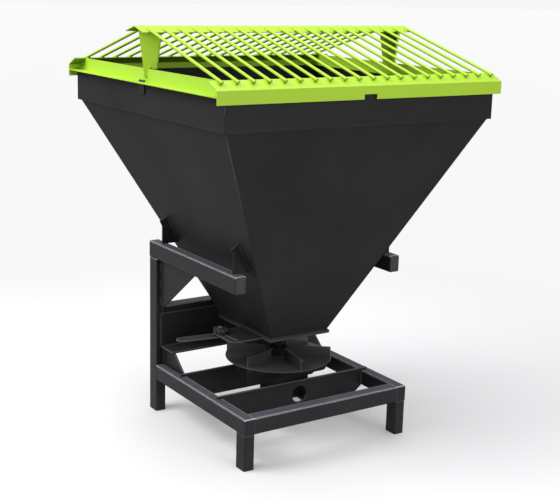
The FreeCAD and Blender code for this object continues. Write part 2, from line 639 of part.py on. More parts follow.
def bridge_apron(front):
    """The wide plate in front of the bridge, its lower corners rounded."""
    x, back = BRIDGE_APRON_HALF_X, front + BRIDGE_SHEET
    blank = box(-x, x, front, back, CROSS_PLATE_TOP, BRIDGE_TOP + BRIDGE_CORNER)
    return rounded(blank, BRIDGE_CORNER, V(0, 1, 0)).common(
        box(-x, x, front, back, CROSS_PLATE_TOP, BRIDGE_TOP))


def motor_bridge():
    """The plate that carries the motor, with an apron in front and a leg before and behind it."""
    x = BRIDGE_HALF_X
    front = AXIS_Y - BRIDGE_FRONT_REACH
    rear = STAND_CENTRE_Y + CROSS_PLATE_OFFSET - PLATE / 2
    top = box(-x, x, front, rear, BRIDGE_TOP - BRIDGE_SHEET, BRIDGE_TOP)
    rear_leg = box(-x, x, rear - BRIDGE_SHEET, rear, CROSS_PLATE_TOP - BRIDGE_FOOT, BRIDGE_TOP)
    front_leg = box(-BRIDGE_LEG_HALF_X, BRIDGE_LEG_HALF_X, BRIDGE_LEG_Y - BRIDGE_SHEET, BRIDGE_LEG_Y,
                    BRIDGE_BAR_TOP, BRIDGE_TOP)
    bridge = top.fuse([bridge_apron(front), front_leg, rear_leg]).removeSplitter()
    return bridge.cut(cylinder(MOTOR_BOSS_RADIUS, BRIDGE_TOP - 2 * BRIDGE_SHEET, BRIDGE_TOP + 1))


def bridge_bars():
    """Two flat bars from the front cross plate's lower edge back to the bridge's front leg."""
    half = BRIDGE_BAR_WIDTH / 2
    front = STAND_CENTRE_Y - CROSS_PLATE_OFFSET + PLATE / 2
    bars = []
    for sign in SIDES.values():
        x = sign * BRIDGE_BAR_X
        bars.append(box(x - half, x + half, front, BRIDGE_LEG_Y, CROSS_PLATE_BOTTOM, BRIDGE_BAR_TOP))
    return Part.makeCompound(bars)


# ---- grille -------------------------------------------------------------------------
def along_slope(distance):
    return distance * math.cos(ROOF_SLOPE), distance * math.sin(ROOF_SLOPE)


def flange_underside(y):
    """The height of a grille rail's flange, on its lower face, at a distance from the middle."""
    slope = RAIL_FLANGE_RISE / RAIL_FLANGE_RUN
    return GRILLE_RAIL_TOP + (GRILLE_HALF_Y - abs(y)) * slope - SHEET * math.hypot(1, slope)


def grille_rail_front():
    """A rail with an upright face and a flange that slopes up towards the ridge."""
    face_y, inner_y = -GRILLE_HALF_Y, -RAIL_FLANGE_INNER_Y
    back_y = face_y + SHEET
    outline = [(face_y, GRILLE_RAIL_BOTTOM), (face_y, GRILLE_RAIL_TOP), (inner_y, RAIL_FLANGE_TOP),
               (inner_y, flange_underside(inner_y)), (back_y, flange_underside(back_y)),
               (back_y, GRILLE_RAIL_BOTTOM)]
    x = -GRILLE_HALF_X
    rail = prism([V(x, y, z) for y, z in outline], V(1, 0, 0), 2 * GRILLE_HALF_X)
    notch = box(-GRILLE_NOTCH_WIDTH / 2, GRILLE_NOTCH_WIDTH / 2, face_y - 1, back_y + 1,
                GRILLE_RAIL_BOTTOM - 1, GRILLE_RAIL_BOTTOM + GRILLE_NOTCH_HEIGHT)
    return rail.cut(notch)


def grille_end():
    """An end plate inside the hopper's mouth, with a lip that rests on the rim."""
    lip_z = RIM_TOP + GRILLE_SEAT_GAP
    y = GRILLE_HALF_Y - SHEET
    knee_y = RAIL_FLANGE_INNER_Y
    knee_z = min(flange_underside(knee_y), END_PLATE_TOP)
    outline = [(-y, lip_z), (-y, flange_underside(y)), (-knee_y, knee_z), (-knee_y + SHEET, END_PLATE_TOP),
               (knee_y - SHEET, END_PLATE_TOP), (knee_y, knee_z), (y, flange_underside(y)), (y, lip_z)]
    plate = prism([V(END_PLATE_X, py, pz) for py, pz in outline], V(1, 0, 0), SHEET)
    lip = box(END_PLATE_X + SHEET, GRILLE_HALF_X, -y, y, lip_z, lip_z + SHEET)
    half = HOOK_WIDTH / 2 + HOOK_CLEARANCE
    hook_slot = box(RIM_HALF_X - HOOK_CLEARANCE, RIM_HALF_X + HOOK_THICKNESS + HOOK_CLEARANCE, -half, half,
                    lip_z - 1, lip_z + SHEET + 1)
    return plate.fuse(lip).removeSplitter().cut(hook_slot)


def lid_hooks():
    """A flat hook on each side of the rim that reaches up through the grille's lip."""
    top = RIM_TOP + HOOK_REACH
    hook = box(RIM_HALF_X, RIM_HALF_X + HOOK_THICKNESS, -HOOK_WIDTH / 2, HOOK_WIDTH / 2,
               top - HOOK_HEIGHT, top)
    return Part.makeCompound([on_side(hook, sign) for sign in SIDES.values()])


def ridge_cap():
    run, rise = along_slope(RIDGE_FLANGE)
    drop = SHEET / math.cos(ROOF_SLOPE)
    outline = [(-run, RIDGE_TOP - rise), (0, RIDGE_TOP), (run, RIDGE_TOP - rise),
               (run, RIDGE_TOP - rise - drop), (0, RIDGE_TOP - drop), (-run, RIDGE_TOP - rise - drop)]
    x = -GRILLE_HALF_X
    return prism([V(x, y, z) for y, z in outline], V(1, 0, 0), 2 * GRILLE_HALF_X)


def bar_row(count):
    """A row of round bars laid on the front rail's flange and the ridge cap."""
    lift = BAR_RADIUS + BAR_CONTACT_GAP
    off_y, off_z = -lift * math.sin(ROOF_SLOPE), lift * math.cos(ROOF_SLOPE)
    lower_y = GRILLE_HALF_Y - BAR_LOWER_INSET
    length = (lower_y - BAR_UPPER_Y) / math.cos(ROOF_SLOPE)
    lower_z = RIDGE_TOP - lower_y * math.tan(ROOF_SLOPE)
    direction = V(0, math.cos(ROOF_SLOPE), math.sin(ROOF_SLOPE))
    bars = []
    for i in range(count):
        start = V((i - (count - 1) / 2) * BAR_PITCH, -lower_y + off_y, lower_z + off_z)
        bars.append(Part.makeCylinder(BAR_RADIUS, length, start, direction))
    return Part.makeCompound(bars)


def ridge_post():
    """A tapered angle-section post from the end plate up to the ridge, its corner outward."""
    half = math.sqrt(0.5)
    foot_x, foot_z = END_PLATE_X + SHEET + POST_TIP_STAND_OFF, END_PLATE_TOP - POST_TIP_DROP
    head_x, head_z = GRILLE_HALF_X - POST_HEAD_INSET, RIDGE_TOP + POST_HEAD_RISE
    wings = []
    for sign in (-1, 1):
        lower = [V(foot_x, 0, foot_z), V(foot_x - SHEET / half, 0, foot_z),
                 V(foot_x - SHEET / half - POST_TIP_WIDTH * half, sign * POST_TIP_WIDTH * half, foot_z),
                 V(foot_x - POST_TIP_WIDTH * half, sign * POST_TIP_WIDTH * half, foot_z)]
        upper = [V(head_x, 0, head_z), V(head_x - SHEET / half, 0, head_z),
                 V(head_x - SHEET / half - POST_TOP_WIDTH * half, sign * POST_TOP_WIDTH * half, head_z),
                 V(head_x - POST_TOP_WIDTH * half, sign * POST_TOP_WIDTH * half, head_z)]
        wings.append(hexahedron(lower, upper))
    post = wings[0].fuse(wings[1]).removeSplitter()
    run, rise = along_slope(RAIL_FLANGE_INNER_Y)
    drop = SHEET / math.cos(ROOF_SLOPE)
    above_roof = prism([V(0, -run, RIDGE_TOP - rise - drop), V(0, 0, RIDGE_TOP - drop),
                        V(0, run, RIDGE_TOP - rise - drop), V(0, run, RIDGE_TOP + RIDGE_RISE),
                        V(0, -run, RIDGE_TOP + RIDGE_RISE)], V(1, 0, 0), 2 * GRILLE_HALF_X)
    behind_plate = box(0, END_PLATE_X + SHEET, -run, run, foot_z - POST_TIP_DROP, END_PLATE_TOP)
    return post.cut(above_roof).cut(behind_plate)


def ridge_posts():
    return Part.makeCompound([on_side(ridge_post(), sign) for sign in SIDES.values()])


# ---- all pieces ---------------------------------------------------------------------
def both_sides(name, shape):
    for side, sign in SIDES.items():
        export(name + "_" + side, on_side(shape, sign))


def build():
    os.makedirs("parts", exist_ok=True)
    both_sides("side_rail", side_rail())
    both_sides("front_leg", front_leg())
    both_sides("upright", upright())
    both_sides("arm", arm())
    export("front_rail", front_rail())
    export("upper_gussets", Part.makeCompound([on_side(upper_gusset(), s) for s in SIDES.values()]))
    export("lower_gussets", Part.makeCompound([on_side(lower_gusset(), s) for s in SIDES.values()]))
    export("cross_plate_front", cross_plate(-1, True))
    export("cross_plate_rear", cross_plate(1, False))
    export("hitch_plate", hitch_plate())
    export("hitch_cross_tube", hitch_cross_tube())
    export("lower_link_lugs", lower_link_lugs())
    export("top_link_mast", top_link_mast())
    export("mast_braces", mast_braces())

    for index, side in enumerate(("front", "right", "rear", "left")):
        export("hopper_wall_" + side, hopper_wall(index))
    export("rim_front_rear", Part.makeCompound([rim_front(), mirror_y(rim_front())]))
    export("rim_left_right", Part.makeCompound([on_side(rim_side(), s) for s in SIDES.values()]))
    export("outlet_flange", outlet_flange())
    export("hopper_gussets", hopper_gussets())
    export("lid_hooks", lid_hooks())

    export("metering_plate", metering_plate())
    export("shutter_bush", shutter_bush())
    export("shutter_plate", shutter_plate())
    export("metering_lever", metering_lever())
    export("star_knob", star_knob())

    export("spreading_disc", spreading_disc())
    export("disc_hub", disc_hub())
    export("vanes", vanes())
    export("drive_shaft", drive_shaft())
    export("agitator", agitator())
    export("motor", motor())
    export("motor_bridge", motor_bridge())
    export("bridge_bars", bridge_bars())

    export("grille_rail_front", grille_rail_front())
    export("grille_rail_rear", mirror_y(grille_rail_front()))
    both_sides("grille_end", grille_end())
    export("ridge_cap", ridge_cap())
    export("bars_front", bar_row(BAR_COUNT))
    export("bars_rear", mirror_y(bar_row(BAR_COUNT - 1)))
    export("ridge_posts", ridge_posts())


build()
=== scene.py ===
import json
import math

import bmesh
import bpy
from mathutils import Matrix, Vector

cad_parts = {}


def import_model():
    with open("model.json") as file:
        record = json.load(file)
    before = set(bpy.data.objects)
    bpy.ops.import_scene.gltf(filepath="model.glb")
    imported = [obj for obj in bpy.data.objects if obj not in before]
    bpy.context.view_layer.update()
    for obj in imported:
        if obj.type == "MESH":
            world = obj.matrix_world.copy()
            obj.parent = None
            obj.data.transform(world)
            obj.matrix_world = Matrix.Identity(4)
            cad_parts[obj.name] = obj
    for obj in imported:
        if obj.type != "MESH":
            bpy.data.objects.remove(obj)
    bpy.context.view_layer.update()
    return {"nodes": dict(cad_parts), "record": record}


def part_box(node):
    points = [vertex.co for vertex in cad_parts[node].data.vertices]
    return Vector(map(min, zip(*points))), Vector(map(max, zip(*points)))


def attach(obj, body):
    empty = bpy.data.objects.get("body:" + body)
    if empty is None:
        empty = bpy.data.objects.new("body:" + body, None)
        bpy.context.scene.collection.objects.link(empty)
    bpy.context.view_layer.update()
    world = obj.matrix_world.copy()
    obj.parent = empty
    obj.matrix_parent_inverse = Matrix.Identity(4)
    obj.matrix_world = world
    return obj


# Looks of the tractor sand spreader: finishes for every solid of the frame, and the
# small things that the frame leaves out (welds, bolts, plugs). Metres, Z up.

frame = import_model()

MM = 0.001

# Linear colours.
BLACK = (0.0118, 0.0119, 0.013)
HOPPER_BLACK = (0.0165, 0.0163, 0.0168)
WELD_BLACK = (0.024, 0.0242, 0.026)
# A lighter, glossier black for the disc, vanes and vane bolts: painted light where the hopper shades them.
DISC_BLACK_LIT = (0.034, 0.0343, 0.036)
# The darkest black, for the shaft, hub and bush: painted shade beneath the outlet.
SHAFT_BLACK_SHADED = (0.008, 0.008, 0.009)
SOIL = (0.16, 0.15, 0.13, 1.0)
# A pale bluish tone laid on faces that look up: a painted sheen.
PAINTED_TOP_SHEEN = (0.085, 0.088, 0.1, 1.0)
# A pale colour for a painted highlight along upper edges.
PAINTED_EDGE_HIGHLIGHT = (0.62, 0.63, 0.68, 1.0)
GREEN = (0.38, 0.605, 0.034)

# The floor and what lies behind it.
FLOOR_GLOW = 0.12
BACKDROP = 0.91
FLOOR_FADE = (1.2, 2.6)         # the floor turns into plain backdrop between these radii

# Sizes that the frame's boxes don't give.
EDGE = 3.0 * MM                 # beads stop this far short of a corner
FILLET = 2.6 * MM               # weld radii, from the heaviest to the flattest
LAP = 2.2 * MM
SEAM = 2.0 * MM
SMALL = 1.8 * MM
BUTT = 1.3 * MM
RIPPLE_PITCH = 4.0 * MM
EAR_THICKNESS = 12 * MM
EAR_GAP = 48 * MM
OUTLET_LEDGE = 8 * MM           # the outlet's flange stands this far out past the walls
BRIDGE_SHEET = 4 * MM
BRIDGE_BAR_WIDTH = 40 * MM
BRIDGE_HALF_X = 80 * MM
BRIDGE_FOOT = 30 * MM           # how far the rear leg laps down the rear cross plate
MOTOR_FLANGE_THICKNESS = 14 * MM
VANE_COUNT = 6
VANE_FIRST_ANGLE = 21           # degrees
BAR_COUNT = 20                  # in the grille's front row; the rear row has one less
BAR_RADIUS = 5 * MM
GRILLE_SHEET = 3 * MM
BAR_WELD_SLOPE = 0.40           # how steeply the bars' welds fall towards the rail


# ---- node helpers -------------------------------------------------------------------
class Graph:
    """A small wrapper that adds shader nodes and links them by name."""

    def __init__(self, name):
        self.material = bpy.data.materials.new(name)
        self.material.use_nodes = True
        self.tree = self.material.node_tree
        self.shader = self.tree.nodes["Principled BSDF"]

    def add(self, kind, settings=None, **inputs):
        node = self.tree.nodes.new("ShaderNode" + kind)
        for key, value in (settings or {}).items():
            setattr(node, key, value)
        for key, value in inputs.items():
            self.feed(node.inputs[key.replace("_", " ")], value)
        return node

    def feed(self, socket, value):
        if isinstance(value, bpy.types.NodeSocket):
            self.tree.links.new(value, socket)
        else:
            socket.default_value = value

    def place(self):
        return self.add("TexCoord").outputs["Object"]

    def noise(self, scale, detail=2.0, roughness=0.5, distortion=0.0):
        node = self.add("TexNoise", Vector=self.place(), Scale=scale, Detail=detail,
                        Roughness=roughness, Distortion=distortion)
        return node.outputs["Fac"]

    def ramp(self, fac, low, high, low_value=0.0, high_value=1.0):
        node = self.add("MapRange", Value=fac, From_Min=low, From_Max=high,
                        To_Min=low_value, To_Max=high_value)
        return node.outputs["Result"]

    def math(self, operation, first, second):
        node = self.add("Math", {"operation": operation})
        self.feed(node.inputs[0], first)
        self.feed(node.inputs[1], second)
        return node.outputs["Value"]

    def mix(self, fac, first, second):
        node = self.add("Mix", {"data_type": "RGBA"})
        self.feed(node.inputs["Factor"], fac)
        self.feed(node.inputs[6], first)
        self.feed(node.inputs[7], second)
        return node.outputs[2]

    def bump(self, height, strength, distance, normal=None):
        node = self.add("Bump", Height=height, Strength=strength, Distance=distance)
        if normal is not None:
            self.feed(node.inputs["Normal"], normal)
        return node.outputs["Normal"]

    def rounded_normal(self, radius):
        return self.add("Bevel", {"samples": 6}, Radius=radius).outputs["Normal"]

    def edge_mask(self, radius, start=0.97, full=0.8):
        """1 along sharp edges and 0 on flat faces."""
        true_normal = self.add("NewGeometry").outputs["True Normal"]
        dot = self.add("VectorMath", {"operation": "DOT_PRODUCT"})
        self.feed(dot.inputs[0], self.rounded_normal(radius))
        self.feed(dot.inputs[1], true_normal)
        return self.ramp(dot.outputs["Value"], start, full)

    def height(self):
        return self.add("SeparateXYZ", Vector=self.place()).outputs["Z"]

    def facing_up(self, normal=None):
        """The normal's upward part, from -1 to 1."""
        if normal is None:
            normal = self.add("NewGeometry").outputs["Normal"]
        return self.add("SeparateXYZ", Vector=normal).outputs["Z"]


def lighter(colour, amount):
    """A colour moved towards white."""
    return tuple(c + (1.0 - c) * amount for c in colour) + (1.0,)


def solid(colour):
    return tuple(colour) + (1.0,)


# ---- materials ----------------------------------------------------------------------
def powder_coat(name, colour, roughness, gloss, wear=0.05, wave=0.0, top_sheen=0.0, edge_highlight=0.0, underside_shade=0.0):
    """Satin powder coat: orange peel, slight tone changes, specks, soil low down, worn edges, and painted
    light and shade.

    wave is how strongly the sheet waves. The next three arguments paint light and shade into the colour: a
    pale bluish painted sheen on faces that look up, a painted highlight line on upper edges and painted
    shade on the undersides.
    """
    g = Graph(name)
    tone = g.ramp(g.noise(3.2, 4.0, 0.55), 0.35, 0.7)
    base = g.mix(tone, solid(colour), lighter(colour, 0.006))
    specks = g.ramp(g.noise(260.0, 3.0, 0.7), 0.66, 0.74, 0.0, 0.35)
    base = g.mix(specks, base, lighter(colour, 0.03))
    low_down = g.ramp(g.height(), 0.12, 0.0, 0.0, 0.1)
    patches = g.ramp(g.noise(38.0, 5.0), 0.42, 0.7)
    base = g.mix(g.math("MULTIPLY", low_down, patches), base, SOIL)
    # Painted sheen: faces that look up are lightened towards a pale bluish grey.
    if top_sheen:
        sheen_on_top = g.ramp(g.facing_up(), 0.85, 0.98, 0.0, top_sheen)
        uneven = g.ramp(g.noise(9.0, 4.0), 0.2, 0.8, 0.75, 1.0)
        base = g.mix(g.math("MULTIPLY", sheen_on_top, uneven), base, PAINTED_TOP_SHEEN)
    # Painted shade: faces that look down are darkened towards a quarter of the colour.
    if underside_shade:
        shaded_below = g.ramp(g.facing_up(), -0.05, -0.6, 0.0, underside_shade)
        base = g.mix(shaded_below, base, solid(0.25 * c for c in colour))
    # Painted highlight: a pale line along the upper edges.
    if edge_highlight:
        line_width = 7.0 * MM
        turned_up = g.ramp(g.facing_up(g.rounded_normal(line_width)), 0.1, 0.3)
        upper = g.math("MULTIPLY", turned_up, g.edge_mask(line_width, 0.995, 0.95))
        base = g.mix(g.math("MULTIPLY", upper, edge_highlight), base, PAINTED_EDGE_HIGHLIGHT)
    rubbed = g.math("MULTIPLY", g.edge_mask(1.2 * MM), g.ramp(g.noise(24.0, 4.0), 0.45, 0.7))
    base = g.mix(g.math("MULTIPLY", rubbed, 0.6), base, lighter(colour, wear))
    g.feed(g.shader.inputs["Base Color"], base)
    satin = g.ramp(g.noise(11.0, 4.0), 0.3, 0.7, roughness - 0.05, roughness + 0.07)
    g.feed(g.shader.inputs["Roughness"], satin)
    g.shader.inputs["Specular IOR Level"].default_value = 0.0
    g.shader.inputs["Coat Weight"].default_value = gloss
    g.shader.inputs["Coat Roughness"].default_value = roughness
    normal = g.bump(g.noise(620.0, 2.0, 0.45), 0.11, 0.6 * MM, g.rounded_normal(1.4 * MM))
    if wave:
        normal = g.bump(g.noise(3.6, 1.0, 0.4), wave, 9.0 * MM, normal)
    g.feed(g.shader.inputs["Normal"], normal)
    g.feed(g.shader.inputs["Coat Normal"], normal)
    return g.material


def cast_iron():
    """Painted casting with a sandy grain."""
    g = Graph("cast_iron_painted")
    grain = g.noise(420.0, 5.0, 0.7)
    base = g.mix(g.ramp(g.noise(22.0, 4.0), 0.4, 0.7), (0.02, 0.021, 0.022, 1), (0.045, 0.044, 0.042, 1))
    g.feed(g.shader.inputs["Base Color"], base)
    g.feed(g.shader.inputs["Roughness"], g.ramp(grain, 0.3, 0.7, 0.45, 0.7))
    normal = g.bump(grain, 0.5, 0.8 * MM, g.rounded_normal(2.0 * MM))
    g.feed(g.shader.inputs["Normal"], normal)
    return g.material


def moulded_plastic():
    """Black plastic with a fine spark-eroded grain."""
    g = Graph("moulded_plastic")
    spark = g.noise(1500.0, 2.0, 0.6)
    base = g.mix(g.ramp(g.noise(60.0, 3.0), 0.4, 0.7), (0.011, 0.011, 0.012, 1), (0.02, 0.02, 0.021, 1))
    g.feed(g.shader.inputs["Base Color"], base)
    g.feed(g.shader.inputs["Roughness"], g.ramp(spark, 0.3, 0.7, 0.42, 0.6))
    g.feed(g.shader.inputs["Normal"], g.bump(spark, 0.25, 0.3 * MM, g.rounded_normal(1.2 * MM)))
    return g.material


def zinc_plate():
    """Bright zinc with a cloudy bloom."""
    g = Graph("zinc_plated_steel")
    cloud = g.noise(130.0, 4.0, 0.6)
    g.feed(g.shader.inputs["Base Color"], g.mix(cloud, (0.4, 0.41, 0.42, 1), (0.62, 0.62, 0.6, 1)))
    g.shader.inputs["Metallic"].default_value = 1.0
    g.feed(g.shader.inputs["Roughness"], g.ramp(cloud, 0.3, 0.7, 0.28, 0.45))
    g.feed(g.shader.inputs["Normal"], g.bump(cloud, 0.1, 0.2 * MM, g.rounded_normal(0.6 * MM)))
    return g.material


FINISHES = {
    "black_paint": powder_coat("black_powder_coat", BLACK, 0.4, 0.32, wear=0.09, top_sheen=0.15, edge_highlight=0.15),
    # The tubes' copy of the black paint carries the painted sheen and the painted highlight at full
    # strength.
    "tube_paint_lit": powder_coat("tube_powder_coat_lit", BLACK, 0.38, 0.36, wear=0.09, top_sheen=1.0, edge_highlight=1.0),
    "weld_paint": powder_coat("weld_powder_coat", WELD_BLACK, 0.3, 0.7, wear=0.15),
    "disc_paint_lit": powder_coat("disc_powder_coat_lit", DISC_BLACK_LIT, 0.3, 0.6, wear=0.12, top_sheen=0.3),
    "shaft_paint_shaded": powder_coat("shaft_powder_coat_shaded", SHAFT_BLACK_SHADED, 0.5, 0.1, wear=0.03),
    "hopper_paint": powder_coat("hopper_powder_coat", HOPPER_BLACK, 0.48, 0.2, wear=0.06, wave=0.02,
                                edge_highlight=0.06),
    "green_paint": powder_coat("green_powder_coat", GREEN, 0.36, 0.5, wear=0.2, underside_shade=0.75),
    "motor_iron": cast_iron(),
    "knob_plastic": moulded_plastic(),
    "zinc": zinc_plate(),
}


# Nodes whose finish isn't their slot's. The shaft's slot is bare steel, but the shaft, the hub and the bush
# get the darkest black with little coat: painted shade beneath the outlet.
SPECIAL = {"spreading_disc": "disc_paint_lit", "vanes": "disc_paint_lit"}
for dark in ("drive_shaft", "disc_hub", "shutter_bush"):
    SPECIAL[dark] = "shaft_paint_shaded"
for tube in ("side_rail_left", "side_rail_right", "front_rail", "arm_left", "arm_right",
             "hitch_cross_tube", "upright_left", "upright_right"):
    SPECIAL[tube] = "tube_paint_lit"


def paint_frame():
    """Give every node of the frame its finish."""
    for row in frame["record"]["subparts"]:
        node = frame["nodes"][row["node"]]
        node.data.materials.clear()
        node.data.materials.append(FINISHES[SPECIAL.get(row["node"], row["material_slot"])])


# ---- building small pieces ----------------------------------------------------------
def finish_piece(name, bm, body, slot, smooth=False, finish=None):
    """Turn a bmesh into a piece that rides on a body and takes a finish."""
    mesh = bpy.data.meshes.new(name)
    bmesh.ops.recalc_face_normals(bm, faces=bm.faces)
    bm.to_mesh(mesh)
    bm.free()
    if smooth:
        mesh.shade_smooth()
    piece = bpy.data.objects.new(name, mesh)
    bpy.context.scene.collection.objects.link(piece)
    mesh.materials.append(FINISHES[finish or slot])
    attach(piece, body)


def frame_along(direction):
    """A rotation whose Z axis lies along a direction."""
    return Vector(direction).to_track_quat("Z", "Y").to_matrix()


def ring(bm, centre, turn, radius, segments):
    """Vertices round a circle."""
    verts = []
    for i in range(segments):
        a = 2 * math.pi * i / segments
        spoke = Vector((radius * math.cos(a), radius * math.sin(a), 0))
        verts.append(bm.verts.new(centre + turn @ spoke))
    return verts


def skin(bm, rings, capped=True):
    """Join a row of equal rings with faces, and close both ends."""
    count = len(rings[0])
    for low, high in zip(rings, rings[1:]):
        for i in range(count):
            j = (i + 1) % count
            bm.faces.new((low[i], low[j], high[j], high[i]))
    if capped:
        bm.faces.new(rings[0])
        bm.faces.new(rings[-1])


def turned_rings(bm, place, direction, profile, segments):
    """One ring for each (radius, height) point of a turned form."""
    turn = frame_along(direction)
    rings = []
    for radius, height in profile:
        centre = Vector(place) + turn @ Vector((0, 0, height))
        rings.append(ring(bm, centre, turn, radius, segments))
    return rings


def add_lathe(bm, place, direction, profile, segments=24):
    """A turned form, closed at both ends."""
    skin(bm, turned_rings(bm, place, direction, profile, segments))


def add_collar(bm, place, direction, outer, inner, length):
    """A short tube with a chamfered outer end."""
    chamfer = 0.2 * length
    profile = [(inner, 0), (outer, 0), (outer, length - chamfer)]
    profile += [(outer - chamfer, length), (inner, length)]
    rings = turned_rings(bm, place, direction, profile, 32)
    skin(bm, rings + rings[:1], capped=False)


def add_bolt(bm, place, direction, size):
    """A washer and a hexagon head with chamfered corners, seated on a face."""
    washer = 0.2 * size
    rim = 1.1 * size
    add_lathe(bm, place, direction,
              [(1.05 * size, 0), (rim, 0.3 * washer), (rim, 0.8 * washer), (size, washer)])
    head = 0.65 * size
    across = 0.92 * size
    add_lathe(bm, place, direction,
              [(across, washer), (across, washer + 0.8 * head), (0.86 * across, washer + head)], segments=6)


def add_round_head(bm, place, direction, radius):
    """The low round head of a screw or coach bolt."""
    shape = [(1.0, 0.0), (0.96, 0.3), (0.7, 0.6), (0.3, 0.74)]
    add_lathe(bm, place, direction, [(r * radius, h * radius) for r, h in shape], segments=16)


def add_bead(bm, start, end, radius):
    """A rippled weld along a corner, half sunk in it."""
    start, end = Vector(start), Vector(end)
    run = end - start
    turn = frame_along(run)
    steps = max(4, int(run.length / (RIPPLE_PITCH / 2)))
    rings = []
    for k in range(steps + 1):
        t = k / steps
        ripple = (1.12 if k % 2 else 0.92) + 0.08 * math.sin(t * run.length * 190.0)
        fade = min(1.0, 0.4 + min(t, 1 - t) * run.length / (2 * radius))
        rings.append(ring(bm, start + run * t, turn, radius * ripple * fade, 6))
    skin(bm, rings)


def add_cord(bm, start, end, radius):
    """A smooth round edge, such as a fold's, sunk in the corner it follows."""
    start, end = Vector(start), Vector(end)
    turn = frame_along(end - start)
    skin(bm, [ring(bm, start, turn, radius, 10), ring(bm, end, turn, radius, 10)])


def mirrored(bm, start, end, radius):
    """The same bead on both sides of the machine."""
    (x0, y0, z0), (x1, y1, z1) = start, end
    for sign in (-1, 1):
        add_bead(bm, (sign * x0, y0, z0), (sign * x1, y1, z1), radius)


def bead_x(bm, x0, x1, y, z, radius):
    """A mirrored bead across the machine, short of its corners."""
    mirrored(bm, (x0 + EDGE, y, z), (x1 - EDGE, y, z), radius)


def bead_y(bm, x, y0, y1, z, radius):
    """The same from front to rear."""
    mirrored(bm, (x, y0 + EDGE, z), (x, y1 - EDGE, z), radius)


def bead_z(bm, x, y, z0, z1, radius):
    """The same up an edge."""
    mirrored(bm, (x, y, z0 + EDGE), (x, y, z1 - EDGE), radius)


def stitches(bm, start, end, radius, length=32 * MM, gap=30 * MM):
    """Short beads with gaps between them, on both sides of the machine."""
    start, end = Vector(start), Vector(end)
    run = end - start
    along = run.normalized()
    count = max(1, int((run.length + gap) / (length + gap)))
    pitch = run.length / count
    half = along * min(length, 0.8 * pitch) / 2
    for k in range(count):
        middle = start + along * pitch * (k + 0.5)
        mirrored(bm, middle - half, middle + half, radius)


def corners(node):
    """The low and high corners of a node's box."""
    low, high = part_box(node)
    return Vector(low), Vector(high)


# ---- places read from the frame -----------------------------------------------------
RAIL, POST = corners("side_rail_right"), corners("upright_right")
ARM, LEG = corners("arm_right"), corners("front_leg_right")
CROSS, HITCH = corners("hitch_cross_tube"), corners("hitch_plate")
PLATES = [corners("cross_plate_front"), corners("cross_plate_rear")]
WALL, FLANGE = corners("hopper_wall_right"), corners("outlet_flange")
DISC, HUB = corners("spreading_disc"), corners("disc_hub")
AXIS_Y = HUB[0].y / 2 + HUB[1].y / 2
TUBE_IN, TUBE_OUT = RAIL[0].x, RAIL[1].x
POST_FRONT, POST_REAR, POST_TOP = POST[0].y, POST[1].y, POST[1].z
RAIL_LOW, RAIL_TOP = RAIL[0].z, RAIL[1].z
PLATE_THICKNESS = PLATES[0][1].y - PLATES[0][0].y
FOOT_X = FLANGE[1].x - OUTLET_LEDGE
WALL_SLOPE = (WALL[1].x - FOOT_X) / (WALL[1].z - WALL[0].z)


def wall_x(z):
    """How far out the side walls' outer faces stand at a height."""
    return FOOT_X + WALL_SLOPE * (z - WALL[0].z)


# ---- stand --------------------------------------------------------------------------
def rail_welds():
    """Joints of the legs, rails, uprights and arms."""
    bm = bmesh.new()
    leg_front, leg_rear, leg_top = LEG[0].y, LEG[1].y, LEG[1].z
    bead_x(bm, TUBE_IN, TUBE_OUT, leg_rear, leg_top, FILLET)
    bead_y(bm, TUBE_OUT, leg_front, leg_rear, leg_top, BUTT)
    bead_y(bm, TUBE_IN, leg_front, leg_rear, leg_top, BUTT)
    bead_x(bm, TUBE_IN, TUBE_OUT, leg_front, leg_top, BUTT)
    for x in (TUBE_IN, TUBE_OUT):
        bead_z(bm, x, POST_FRONT, RAIL_LOW, RAIL_TOP, BUTT)
        bead_y(bm, x, POST_FRONT, POST_REAR, POST_TOP, BUTT)
    for z in (RAIL_LOW, RAIL_TOP, POST_TOP):
        bead_x(bm, TUBE_IN, TUBE_OUT, POST_FRONT, z, FILLET)
    bead_x(bm, TUBE_IN, TUBE_OUT, POST_REAR, POST_TOP, BUTT)
    front, rear = (corner.y for corner in corners("front_rail"))
    bead_z(bm, TUBE_IN, rear, RAIL_LOW, RAIL_TOP, FILLET)
    bead_z(bm, TUBE_IN, front, RAIL_LOW, RAIL_TOP, BUTT)
    for z in (RAIL_LOW, RAIL_TOP):
        bead_y(bm, TUBE_IN, front, rear, z, BUTT)
    for low, high in PLATES:
        for y in (low.y, high.y):
            mirrored(bm, (TUBE_IN + 2 * EDGE, y, RAIL_TOP), (high.x - 1 * MM, y, RAIL_TOP), SEAM)
            mirrored(bm, (TUBE_IN, y, RAIL_LOW + 2 * EDGE), (TUBE_IN, y, RAIL_TOP - EDGE), FILLET)
        mirrored(bm, (high.x, low.y, RAIL_TOP), (high.x, high.y, RAIL_TOP), SEAM)
    finish_piece("rail_welds", bm, "stand", "black_paint", smooth=True, finish="weld_paint")


